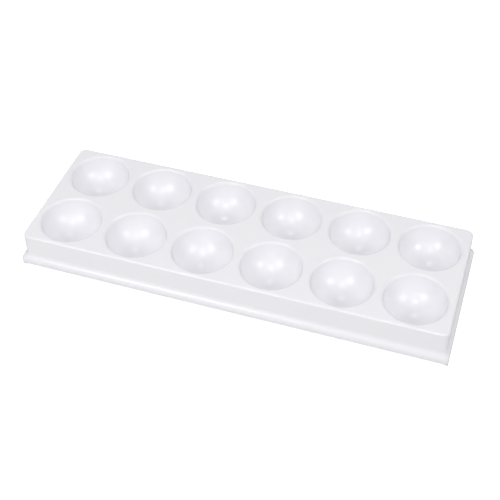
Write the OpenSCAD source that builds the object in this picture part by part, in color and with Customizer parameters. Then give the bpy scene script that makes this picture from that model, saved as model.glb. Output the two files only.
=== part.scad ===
// Egg holder tray: one moulded shell with two rows of round egg cups, standing on four corner feet.
// Millimetres. The origin is on the table, below the middle of the tray. +X runs along the tray.

/* [Deck] */
// Length of the deck, over its rounded edges
deck_l = 303.8; // [302:0.2:320]
// Width of the deck, over its rounded edges
deck_w = 101.6; // [101.6:0.2:120]
// Radius of the deck's corners, seen from above
deck_corner_r = 5; // [3:0.5:12]
// Radius of the deck's top edge
deck_edge_r = 1.4; // [1:0.1:2.2]
// Height of the deck above the table
deck_h = 27.9; // [27.5:0.1:40]
// Wall thickness of the moulding
wall = 1.8; // [1.2:0.1:1.8]

/* [Egg cups] */
// Number of cups along the tray
cup_columns = 6; // [2:1:6]
// Number of rows of cups
cup_rows = 2; // [1:1:2]
// Spacing of the cups' centres
cup_pitch = 50; // [49:0.5:50]
// Radius of a cup's round hollow
cup_r = 21.7; // [20:0.1:21.9]
// Height of the hollow's centre above the deck
cup_rise = 0.7; // [0.2:0.1:3]
// Radius of the rounded rim round each cup
cup_rim_r = 1.8; // [1:0.1:2]

/* [Riser and flange] */
// How far the sloping riser spreads on its way down to the fillet
riser_spread = 0.3; // [0.2:0.1:1.5]
// Radius of the concave fillet at the foot of the riser
fillet_r = 4.6; // [3:0.1:7]
// Slope at the end of the fillet, from vertical
fillet_end_angle = 46; // [42:1:55]
// Radius of the flange's round outer edge, which turns down into the lip
flange_edge_r = 4.2; // [1:0.1:4.4]
// Radius of the flange's corners, seen from above
flange_corner_r = 3; // [2.5:0.5:6]
// Height of the straight lip that hangs from the flange
lip_h = 2.7; // [2.4:0.1:6]
// Gap between the lip and the table
lip_clearance = 3; // [2:0.1:4]

/* [Feet] */
// Length of a foot, along the lip that it sits under
foot_l = 4.6; // [4:0.1:12]
// How far a foot reaches inwards, past the inside of the lip
foot_reach = 1.4; // [1:0.1:2]
// How far a foot stands up behind the lip
foot_grip = 3.6; // [2:0.1:6]

/* [Hidden] */

moulding_white = [0.95, 0.95, 0.96];
foot_grey = [0.72, 0.72, 0.72];
edge_steps = 5;
fillet_steps = 7;
flange_steps = 6;
corner_steps = 6;
// Radius that is left inside the deck's edge where the wall is thicker than the edge's radius
under_edge_r = 0.2;
overcut = 1;

half_l = deck_l / 2;
half_w = deck_w / 2;
lip_bottom = lip_clearance;
lip_top = lip_bottom + lip_h;
// Where the fillet ends and the flange's rounded edge begins
fillet_end = lip_top + flange_edge_r * sin(fillet_end_angle);
fillet_centre_z = fillet_end + fillet_r * sin(fillet_end_angle);
fillet_centre_out = riser_spread + fillet_r;
// How far the flange stands out from the deck, all round
flange_reach = fillet_centre_out - fillet_r * cos(fillet_end_angle)
               + flange_edge_r * (1 - cos(fillet_end_angle));
flange_half_l = half_l + flange_reach;
flange_half_w = half_w + flange_reach;
riser_lean = atan2(riser_spread, deck_h - deck_edge_r - fillet_centre_z);
// Angle at which the fillet's inside meets the inside of the lip
inner_end_angle = acos((fillet_centre_out - flange_reach + wall) / (fillet_r + wall));
inner_end = fillet_centre_z - (fillet_r + wall) * sin(inner_end_angle);
// The circle where a cup's rim blends into the flat deck
rim_out_r = sqrt(pow(cup_r + cup_rim_r, 2) - pow(cup_rise + cup_rim_r, 2));
// The height, below the deck, where the rim blends into the round hollow
rim_blend_z = cup_rise - (cup_rise + cup_rim_r) * cup_r / (cup_r + cup_rim_r);

function lerp(a, b, t) = a + (b - a) * t;

// The moulding's section is a list of [distance out from the deck's outline, height], from the deck down.
// off is how far inside the outer skin it lies.
function edge_point(a, off) = let (r = max(deck_edge_r - off, under_edge_r))
    [r * sin(a) - r - off, r * cos(a) - r - off + deck_h];
function fillet_point(a, off) = [fillet_centre_out - (fillet_r + off) * cos(a),
                                 fillet_centre_z - (fillet_r + off) * sin(a)];
function flange_point(a) = [flange_reach - flange_edge_r * (1 - cos(a)),
                            lip_top + flange_edge_r * sin(a)];
function upper_section(off, end_angle) = concat(
    [for (i = [0 : edge_steps]) edge_point(90 * i / edge_steps, off)],
    [for (i = [0 : fillet_steps]) fillet_point(lerp(riser_lean, end_angle, i / fillet_steps), off)]);
function outer_section() = concat(
    upper_section(0, fillet_end_angle),
    [for (i = [1 : flange_steps]) flange_point(lerp(fillet_end_angle, 0, i / flange_steps))],
    [[flange_reach, lip_bottom]]);
function inner_section() = concat(
    upper_section(wall, inner_end_angle),
    [[flange_reach - wall, lip_bottom - overcut]]);

// Corner radius of the outer skin at a distance out from the deck's outline
function plan_r(out) = out < 0
    ? deck_corner_r + out
    : lerp(deck_corner_r, flange_corner_r, out / flange_reach);

// One rounded rectangle of points, at one height
function corner(q) = [q == 0 || q == 3 ? 1 : -1, q < 2 ? 1 : -1];
function ring(out, z, r) = [for (q = [0 : 3], k = [0 : corner_steps])
    let (a = 90 * (q + k / corner_steps))
    [corner(q)[0] * (half_l + out - r) + r * cos(a), corner(q)[1] * (half_w + out - r) + r * sin(a), z]];

module loft(rings) {
    n = len(rings[0]);
    m = len(rings);
    points = [for (r = rings, p = r) p];
    quads = [for (j = [0 : m - 2], i = [0 : n - 1])
        let (a = j * n + i, b = j * n + (i + 1) % n) [a, b, b + n, a + n]];
    cap = [for (i = [0 : n - 1]) i];
    top = [for (i = cap) n - 1 - i];
    bottom = [for (i = cap) (m - 1) * n + i];
    polyhedron(points, concat([top], quads, [bottom]), convexity = 6);
}

module skin(section, off) {
    loft([for (p = section) ring(p[0], p[1], plan_r(p[0] + off) - off)]);
}

module at_each_cup() {
    for (i = [0 : cup_columns - 1], j = [0 : cup_rows - 1])
        translate([(i - (cup_columns - 1) / 2) * cup_pitch, (j - (cup_rows - 1) / 2) * cup_pitch, deck_h])
            children();
}

// The round outside of a cup, under the deck
module cup_dome() {
    intersection() {
        translate([0, 0, cup_rise]) sphere(cup_r + wall, $fn = 96);
        translate([0, 0, -2 * cup_r]) cylinder(h = 2 * cup_r - wall / 2, r = 2 * cup_r, $fn = 96);
    }
}

// The hollow that an egg sits in, with its rounded rim
module cup_hollow() {
    translate([0, 0, cup_rise]) sphere(cup_r, $fn = 96);
    rotate_extrude($fn = 96) difference() {
        translate([cup_r / 2, rim_blend_z]) square([rim_out_r - cup_r / 2, overcut - rim_blend_z]);
        translate([rim_out_r, -cup_rim_r]) circle(cup_rim_r, $fn = 64);
    }
}

module tray() color(moulding_white) difference() {
    union() {
        difference() {
            skin(outer_section(), 0);
            skin(inner_section(), wall);
        }
        at_each_cup() cup_dome();
    }
    at_each_cup() cup_hollow();
}

// A foot sits under the lip of the tray's short side, right behind the corner, and stands up behind it.
// sx and sy say which corner.
module foot(sx, sy) color(foot_grey) {
    lip_inside = flange_half_l - wall;
    far_end = flange_half_w - wall;
    foot_top = min(lip_bottom + foot_grip, inner_end);
    mirror([sx < 0 ? 1 : 0, 0, 0]) mirror([0, sy < 0 ? 1 : 0, 0])
        translate([lip_inside - foot_reach, far_end - foot_l, 0]) {
            cube([foot_reach + wall, foot_l, lip_bottom]);
            cube([foot_reach, foot_l, foot_top]);
        }
}

module front_left_foot() foot(-1, -1);
module front_right_foot() foot(1, -1);
module rear_left_foot() foot(-1, 1);
module rear_right_foot() foot(1, 1);

tray();
front_left_foot();
front_right_foot();
rear_left_foot();
rear_right_foot();
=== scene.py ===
import math

import bmesh
import bpy
from mathutils import Matrix, Vector


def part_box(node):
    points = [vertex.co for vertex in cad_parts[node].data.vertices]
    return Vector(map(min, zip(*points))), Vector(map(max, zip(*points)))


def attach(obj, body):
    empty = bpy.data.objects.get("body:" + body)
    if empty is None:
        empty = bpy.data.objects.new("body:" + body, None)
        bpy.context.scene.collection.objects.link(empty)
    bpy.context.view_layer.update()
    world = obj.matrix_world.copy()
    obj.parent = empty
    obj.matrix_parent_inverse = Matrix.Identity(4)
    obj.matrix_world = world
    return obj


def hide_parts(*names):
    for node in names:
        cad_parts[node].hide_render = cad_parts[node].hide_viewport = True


# Egg holder tray: a glossy white moulded tray with twelve round cups, on four small rubber feet.
# Everything is in metres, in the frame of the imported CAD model. MM turns millimetres into metres.
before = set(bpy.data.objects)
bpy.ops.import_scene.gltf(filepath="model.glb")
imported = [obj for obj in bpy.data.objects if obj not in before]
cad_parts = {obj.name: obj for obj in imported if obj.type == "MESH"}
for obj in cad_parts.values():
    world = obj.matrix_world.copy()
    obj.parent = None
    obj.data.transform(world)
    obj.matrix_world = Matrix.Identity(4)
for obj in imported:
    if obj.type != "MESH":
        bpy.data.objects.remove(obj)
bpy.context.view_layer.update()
MM = 0.001

# ---- sizes, the same as the CAD model's ----
tray_low, tray_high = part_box("tray")
HALF_L = tray_high.x
HALF_W = tray_high.y
DECK_Z = tray_high.z
LIP_BOTTOM_Z = tray_low.z
WALL = 1.8 * MM
CUP_COLUMNS, CUP_ROWS, CUP_PITCH = 6, 2, 50 * MM
CUP_R = 21.7 * MM
CUP_RISE = 0.7 * MM
CUP_RIM_R = 1.8 * MM
DECK_CORNER_R = 5 * MM
DECK_EDGE_R = 1.4 * MM
RISER_SPREAD = 0.3 * MM
FILLET_R = 4.6 * MM
FILLET_END = math.radians(46)
FLANGE_EDGE_R = 4.2 * MM
FLANGE_CORNER_R = 3 * MM
LIP_H = 2.7 * MM
# Small rounds that the CAD model leaves sharp
LIP_ROUND = 0.35 * MM
UNDER_ROUND = 0.5 * MM
FOOT_ROUND = 0.5 * MM
# The tightest corner of a swept section, seen from above
LEAST_CORNER_R = 0.4 * MM

# ---- worked out from them ----
FLANGE_REACH = RISER_SPREAD + (FILLET_R + FLANGE_EDGE_R) * (1 - math.cos(FILLET_END))
DECK_HALF_L = HALF_L - FLANGE_REACH
DECK_HALF_W = HALF_W - FLANGE_REACH
LIP_TOP_Z = LIP_BOTTOM_Z + LIP_H
FILLET_CENTRE = Vector((RISER_SPREAD + FILLET_R,
                        LIP_TOP_Z + (FLANGE_EDGE_R + FILLET_R) * math.sin(FILLET_END)))
RISER_LEAN = math.atan2(RISER_SPREAD, DECK_Z - DECK_EDGE_R - FILLET_CENTRE.y)
UP, DOWN = math.pi / 2, -math.pi / 2

# ---- how finely the curves are divided ----
CORNER_STEPS = 10
CUP_STEPS = 80
EDGE_STEPS = 8
FILLET_STEPS = 12
INNER_FILLET_STEPS = 8
FLANGE_STEPS = 7
RIM_STEPS = 10
BOWL_STEPS = 26
DOME_STEPS = 18
ROUND_STEPS = 4
# A section point nearer to a cup's axis than this lies on it
ON_AXIS = 1e-7

# ---- looks ----
PLASTIC_DARK, PLASTIC_LIGHT = (0.884, 0.8825, 0.9145), (0.892, 0.8905, 0.9225)
PLASTIC_SMOOTHEST, PLASTIC_ROUGHEST = 0.24, 0.27
PLASTIC_IOR = 1.55
RUBBER_DARK, RUBBER_LIGHT = (0.66, 0.66, 0.66), (0.74, 0.74, 0.74)
RUBBER_ROUGHNESS = 0.58
FLOOR_COLOUR = (0.7, 0.7, 0.7, 1)
FLOOR_ROUGHNESS = 0.9
FLOOR_GLOW = 0.85
FLOOR_REACH = 6
WHITE = (1, 1, 1, 1)
SURROUND_STRENGTH = 0.557

# ---- camera ----
CAMERA_AZIMUTH = math.radians(18.67)
CAMERA_ELEVATION = math.radians(45.54)
CAMERA_ROLL = math.radians(-0.76)
CAMERA_DISTANCE = 0.6775
CAMERA_TARGET = Vector((0.00669, -0.01542, DECK_Z))
SENSOR_WIDTH_MM, LENS_MM = 36, 70.27


# ---- the tray's mesh: sections swept round the outline, and sections turned round each cup's axis ----

def arc(centre, radius, start, end, steps, inward=False):
    """A section's points along an arc, each with its surface normal, as (point, normal) pairs.
    Angles run from outwards towards up. inward turns the normals to the arc's own centre."""
    points = []
    for i in range(steps + 1):
        a = start + (end - start) * i / steps
        d = Vector((math.cos(a), math.sin(a)))
        points.append((centre + radius * d, -d if inward else d))
    return points


def outer_section():
    """The moulding's outside from the deck's edge down to the lip.
    Its points are (distance out from the deck's outline, height)."""
    edge = arc(Vector((-DECK_EDGE_R, DECK_Z - DECK_EDGE_R)), DECK_EDGE_R, UP, RISER_LEAN, EDGE_STEPS)
    fillet = arc(FILLET_CENTRE, FILLET_R, math.pi + RISER_LEAN, math.pi + FILLET_END,
                 FILLET_STEPS, inward=True)
    flange = arc(Vector((FLANGE_REACH - FLANGE_EDGE_R, LIP_TOP_Z)), FLANGE_EDGE_R, FILLET_END, 0,
                 FLANGE_STEPS)
    lip = arc(Vector((FLANGE_REACH - LIP_ROUND, LIP_BOTTOM_Z + LIP_ROUND)), LIP_ROUND, 0, DOWN,
              ROUND_STEPS)
    return edge + fillet + flange[1:] + lip


def inner_section():
    """The moulding's inside from the lip back up to the underside of the deck."""
    lip_in = FLANGE_REACH - WALL
    lip = arc(Vector((lip_in + LIP_ROUND, LIP_BOTTOM_Z + LIP_ROUND)), LIP_ROUND, DOWN, -math.pi,
              ROUND_STEPS)
    meet = math.acos((FILLET_CENTRE.x - lip_in) / (FILLET_R + WALL))
    fillet = arc(FILLET_CENTRE, FILLET_R + WALL, math.pi + meet, math.pi + RISER_LEAN,
                 INNER_FILLET_STEPS)
    deck_corner = Vector((-WALL - UNDER_ROUND, DECK_Z - WALL - UNDER_ROUND))
    deck = arc(deck_corner, UNDER_ROUND, RISER_LEAN, UP, ROUND_STEPS, inward=True)
    return lip + fillet + deck


def cup_section():
    """A cup's inside from the flat deck, over its rounded rim, down to its bottom.
    Its points are (distance from the cup's axis, height)."""
    centre = Vector((0, DECK_Z + CUP_RISE))
    blend = CUP_R + CUP_RIM_R
    rim_out = math.sqrt(blend ** 2 - (CUP_RISE + CUP_RIM_R) ** 2)
    tangent = math.asin((CUP_RISE + CUP_RIM_R) / blend)
    rim = arc(Vector((rim_out, DECK_Z - CUP_RIM_R)), CUP_RIM_R, UP, math.pi - tangent, RIM_STEPS)
    bowl = arc(centre, CUP_R, -tangent, DOWN, BOWL_STEPS, inward=True)
    return rim + bowl[1:]


def dome_section():
    """A cup's outside, from the underside of the deck down to its bottom."""
    centre = Vector((0, DECK_Z + CUP_RISE))
    under = DECK_Z - WALL - UNDER_ROUND
    blend = CUP_R + WALL + UNDER_ROUND
    drop = DECK_Z + CUP_RISE - under
    out = math.sqrt(blend ** 2 - drop ** 2)
    tangent = math.asin(drop / blend)
    corner = arc(Vector((out, under)), UNDER_ROUND, UP, math.pi - tangent, ROUND_STEPS, inward=True)
    dome = arc(centre, CUP_R + WALL, -tangent, DOWN, DOME_STEPS)
    return corner + dome[1:]


class Skin:
    """Collects vertices with their normals, and faces that wind so that they face along those normals."""

    def __init__(self):
        self.points, self.normals, self.faces = [], [], []

    def add_ring(self, pairs):
        first = len(self.points)
        for point, normal in pairs:
            self.points.append(point)
            self.normals.append(normal)
        return list(range(first, len(self.points)))

    def join(self, a, b):
        """Quads between two rings; b ends in one vertex where a section closes on its axis."""
        n = len(a)
        for i in range(n):
            k = (i + 1) % n
            self.add_face([a[i], a[k], b[0]] if len(b) == 1 else [a[i], a[k], b[k], b[i]])

    def add_face(self, corners):
        p = [self.points[c] for c in corners]
        face_normal = (p[1] - p[0]).cross(p[2] - p[0])
        if face_normal.dot(self.normals[corners[0]] + self.normals[corners[2]]) < 0:
            corners = corners[::-1]
        self.faces.append(corners)


def plan_corner_r(out):
    """Corner radius of the outside, seen from above, at a distance out from the deck's outline."""
    if out < 0:
        return DECK_CORNER_R + out
    return DECK_CORNER_R + (FLANGE_CORNER_R - DECK_CORNER_R) * out / FLANGE_REACH


def outline_ring(point, normal, depth):
    """One section point swept round the tray's rounded outline.
    depth is how far inside the outer skin it lies."""
    r = max(plan_corner_r(min(point.x + depth, FLANGE_REACH)) - depth, LEAST_CORNER_R)
    pairs = []
    for quarter, (sx, sy) in enumerate(((1, 1), (-1, 1), (-1, -1), (1, -1))):
        cx = sx * (DECK_HALF_L + point.x - r)
        cy = sy * (DECK_HALF_W + point.x - r)
        for k in range(CORNER_STEPS + 1):
            a = UP * (quarter + k / CORNER_STEPS)
            c, s = math.cos(a), math.sin(a)
            pairs.append((Vector((cx + r * c, cy + r * s, point.y)),
                          Vector((normal.x * c, normal.x * s, normal.y))))
    return pairs


def turned_ring(point, normal, x, y):
    """One section point turned round a cup's axis."""
    if point.x < ON_AXIS:
        return [(Vector((x, y, point.y)), Vector((0, 0, normal.y)))]
    pairs = []
    for k in range(CUP_STEPS):
        a = 2 * math.pi * k / CUP_STEPS
        c, s = math.cos(a), math.sin(a)
        pairs.append((Vector((x + point.x * c, y + point.x * s, point.y)),
                      Vector((normal.x * c, normal.x * s, normal.y))))
    return pairs


def cup_centres():
    """Where the cups' axes stand, seen from above."""
    for i in range(CUP_COLUMNS):
        for j in range(CUP_ROWS):
            yield (i - (CUP_COLUMNS - 1) / 2) * CUP_PITCH, (j - (CUP_ROWS - 1) / 2) * CUP_PITCH


def build_tray():
    """The whole moulding as one closed mesh, with the exact normals of its sections."""
    skin = Skin()
    outside, inside = outer_section(), inner_section()
    rings = [skin.add_ring(outline_ring(p, n, 0)) for p, n in outside]
    rings += [skin.add_ring(outline_ring(p, n, WALL)) for p, n in inside]
    for a, b in zip(rings, rings[1:]):
        skin.join(a, b)
    top_holes, under_holes = [], []
    for x, y in cup_centres():
        for section, holes in ((cup_section(), top_holes), (dome_section(), under_holes)):
            turned = [skin.add_ring(turned_ring(p, n, x, y)) for p, n in section]
            holes.append(turned[0])
            for a, b in zip(turned, turned[1:]):
                skin.join(a, b)
    bm = bmesh.new()
    verts = [bm.verts.new(p) for p in skin.points]
    for corners in skin.faces:
        bm.faces.new([verts[c] for c in corners])
    fill_flat(bm, verts, [rings[0]] + top_holes, Vector((0, 0, 1)))
    fill_flat(bm, verts, [rings[-1]] + under_holes, Vector((0, 0, -1)))
    mesh = bpy.data.meshes.new("tray_moulding")
    bm.to_mesh(mesh)
    bm.free()
    mesh.shade_smooth()
    mesh.normals_split_custom_set_from_vertices([n.normalized() for n in skin.normals])
    tray = bpy.data.objects.new("tray_moulding", mesh)
    bpy.context.scene.collection.objects.link(tray)
    return tray


def fill_flat(bm, verts, loops, normal):
    """Fills a flat face that has holes: the first loop is its outline and the others are its holes."""
    edges = []
    for loop in loops:
        for a, b in zip(loop, loop[1:] + loop[:1]):
            edges.append(bm.edges.get((verts[a], verts[b])))
    made = bmesh.ops.triangle_fill(bm, edges=edges, use_beauty=True, normal=normal)
    for item in made["geom"]:
        if isinstance(item, bmesh.types.BMFace):
            item.normal_update()
            if item.normal.dot(normal) < 0:
                item.normal_flip()


# ---- feet ----

def build_foot(name):
    """An L-shaped foot: it sits under the tray's lip and stands up behind it. All its edges are rounded."""
    low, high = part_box(name)
    sx = 1 if low.x > 0 else -1
    near, far = sorted((abs(low.x), abs(high.x)))
    lip_in = far - WALL
    section = [(near, 0), (far, 0), (far, LIP_BOTTOM_Z),
               (lip_in, LIP_BOTTOM_Z), (lip_in, high.z), (near, high.z)]
    bm = bmesh.new()
    front = [bm.verts.new((sx * x, low.y, z)) for x, z in section]
    face = bm.faces.new(front)
    grown = bmesh.ops.extrude_face_region(bm, geom=[face])
    moved = [g for g in grown["geom"] if isinstance(g, bmesh.types.BMVert)]
    bmesh.ops.translate(bm, verts=moved, vec=(0, high.y - low.y, 0))
    bmesh.ops.recalc_face_normals(bm, faces=bm.faces)
    bmesh.ops.bevel(bm, geom=list(bm.edges), offset=FOOT_ROUND, segments=ROUND_STEPS,
                    profile=0.5, affect="EDGES", clamp_overlap=True)
    mesh = bpy.data.meshes.new(name + "_block")
    bm.to_mesh(mesh)
    bm.free()
    mesh.shade_smooth()
    foot = bpy.data.objects.new(name + "_block", mesh)
    foot.modifiers.new("even_shading", "WEIGHTED_NORMAL").keep_sharp = True
    bpy.context.scene.collection.objects.link(foot)
    return foot


# ---- materials ----

def new_material(name):
    material = bpy.data.materials.new(name)
    material.use_nodes = True
    nodes, links = material.node_tree.nodes, material.node_tree.links
    return material, nodes, links, nodes["Principled BSDF"]


def noise(nodes, links, coordinates, scale, detail=2.0):
    node = nodes.new("ShaderNodeTexNoise")
    node.inputs["Scale"].default_value = scale
    node.inputs["Detail"].default_value = detail
    links.new(coordinates, node.inputs["Vector"])
    return node.outputs["Fac"]


def remap(nodes, links, value, low, high):
    node = nodes.new("ShaderNodeMapRange")
    node.inputs["To Min"].default_value = low
    node.inputs["To Max"].default_value = high
    links.new(value, node.inputs["Value"])
    return node.outputs["Result"]


def blend_colours(nodes, links, value, dark, light):
    node = nodes.new("ShaderNodeMix")
    node.data_type = "RGBA"
    node.inputs["A"].default_value = (*dark, 1)
    node.inputs["B"].default_value = (*light, 1)
    links.new(value, node.inputs["Factor"])
    return node.outputs["Result"]


def bump(nodes, links, height, distance, strength):
    node = nodes.new("ShaderNodeBump")
    node.inputs["Distance"].default_value = distance
    node.inputs["Strength"].default_value = strength
    links.new(height, node.inputs["Height"])
    return node.outputs["Normal"]


def moulded_plastic():
    """Glossy white plastic: a faint milky drift of colour, a fine moulded texture and
    soft-edged reflections."""
    material, nodes, links, shader = new_material("white_moulded_plastic")
    place = nodes.new("ShaderNodeTexCoord").outputs["Object"]
    drift = noise(nodes, links, place, 14)
    links.new(blend_colours(nodes, links, drift, PLASTIC_DARK, PLASTIC_LIGHT), shader.inputs["Base Color"])
    wear = noise(nodes, links, place, 60, 3)
    links.new(remap(nodes, links, wear, PLASTIC_SMOOTHEST, PLASTIC_ROUGHEST), shader.inputs["Roughness"])
    texture = noise(nodes, links, place, 900, 2)
    links.new(bump(nodes, links, texture, 0.01 * MM, 0.1), shader.inputs["Normal"])
    shader.inputs["IOR"].default_value = PLASTIC_IOR
    return material


def grey_rubber():
    """Matt grey rubber with a fine grain."""
    material, nodes, links, shader = new_material("grey_foot_rubber")
    place = nodes.new("ShaderNodeTexCoord").outputs["Object"]
    specks = noise(nodes, links, place, 900, 3)
    links.new(blend_colours(nodes, links, specks, RUBBER_DARK, RUBBER_LIGHT), shader.inputs["Base Color"])
    grain = noise(nodes, links, place, 4000, 2)
    links.new(bump(nodes, links, grain, 0.03 * MM, 0.4), shader.inputs["Normal"])
    shader.inputs["Roughness"].default_value = RUBBER_ROUGHNESS
    return material


def pale_floor():
    """A plain pale floor. It glows for the camera only, so that it washes out to white without
    lighting the tray's sides from below."""
    material, nodes, links, shader = new_material("pale_floor")
    camera_ray = nodes.new("ShaderNodeLightPath").outputs["Is Camera Ray"]
    links.new(remap(nodes, links, camera_ray, 0, FLOOR_GLOW), shader.inputs["Emission Strength"])
    shader.inputs["Base Color"].default_value = FLOOR_COLOUR
    shader.inputs["Roughness"].default_value = FLOOR_ROUGHNESS
    shader.inputs["Specular IOR Level"].default_value = 0
    shader.inputs["Emission Color"].default_value = WHITE
    return material


# ---- stage: floor, light and camera ----

def build_floor():
    mesh = bpy.data.meshes.new("floor")
    corners = [(sx * FLOOR_REACH, sy * FLOOR_REACH, 0) for sx, sy in ((-1, -1), (1, -1), (1, 1), (-1, 1))]
    mesh.from_pydata(corners, [], [(0, 1, 2, 3)])
    floor = bpy.data.objects.new("floor", mesh)
    mesh.materials.append(pale_floor())
    bpy.context.scene.collection.objects.link(floor)


def area_light(name, place, aim_at, width, height, power):
    data = bpy.data.lights.new(name, "AREA")
    data.shape = "RECTANGLE"
    data.size, data.size_y = width, height
    data.energy = power
    light = bpy.data.objects.new(name, data)
    light.location = place
    light.rotation_euler = (Vector(aim_at) - Vector(place)).to_track_quat("-Z", "Y").to_euler()
    bpy.context.scene.collection.objects.link(light)


def build_lights():
    """Each row is a rectangular light: where it hangs from the middle of the deck, its width and
    height, and its power in watts. All of them face the tray."""
    deck = Vector((0, 0, DECK_Z))
    for name, place, width, height, power in (
            ("flash", (0.149, -0.447, 0.770), 0.10, 0.05, 0.75),
            ("left_softbox", (-0.336, -0.808, 0.619), 0.32, 0.32, 2.2),
            ("front_fill", (-0.20, -0.86, 0.75), 0.90, 0.90, 1.15),
            ("right_softbox", (1.355, -0.513, 0.923), 0.42, 0.42, 4.4),
            ("overhead_lamp", (-0.07, 0.60, 1.40), 0.16, 0.08, 2.0)):
        area_light(name, deck + Vector(place), deck, width, height, power)
    world = bpy.data.worlds.new("studio")
    world.use_nodes = True
    background = world.node_tree.nodes["Background"]
    background.inputs["Color"].default_value = WHITE
    background.inputs["Strength"].default_value = SURROUND_STRENGTH
    bpy.context.scene.world = world


def build_camera():
    """A camera that looks at the target. back points from the target to the camera."""
    level = math.cos(CAMERA_ELEVATION)
    back = Vector((math.sin(CAMERA_AZIMUTH) * level, -math.cos(CAMERA_AZIMUTH) * level,
                   math.sin(CAMERA_ELEVATION)))
    right = Matrix.Rotation(CAMERA_ROLL, 3, back) @ Vector((0, 0, 1)).cross(back).normalized()
    up = back.cross(right)
    axes = Matrix((right, up, back)).transposed()
    camera = bpy.data.objects.new("camera", bpy.data.cameras.new("camera"))
    camera.matrix_world = Matrix.Translation(CAMERA_TARGET + CAMERA_DISTANCE * back) @ axes.to_4x4()
    camera.data.sensor_width = SENSOR_WIDTH_MM
    camera.data.lens = LENS_MM
    bpy.context.scene.collection.objects.link(camera)
    bpy.context.scene.camera = camera


build_camera()
build_lights()
build_floor()
bpy.context.scene.view_settings.view_transform = "Standard"

tray = build_tray()
tray.data.materials.append(moulded_plastic())
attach(tray, "root")
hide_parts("tray")

rubber = grey_rubber()
for foot_name in ("front_left_foot", "front_right_foot", "rear_left_foot", "rear_right_foot"):
    foot = build_foot(foot_name)
    foot.data.materials.append(rubber)
    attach(foot, "root")
    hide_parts(foot_name)
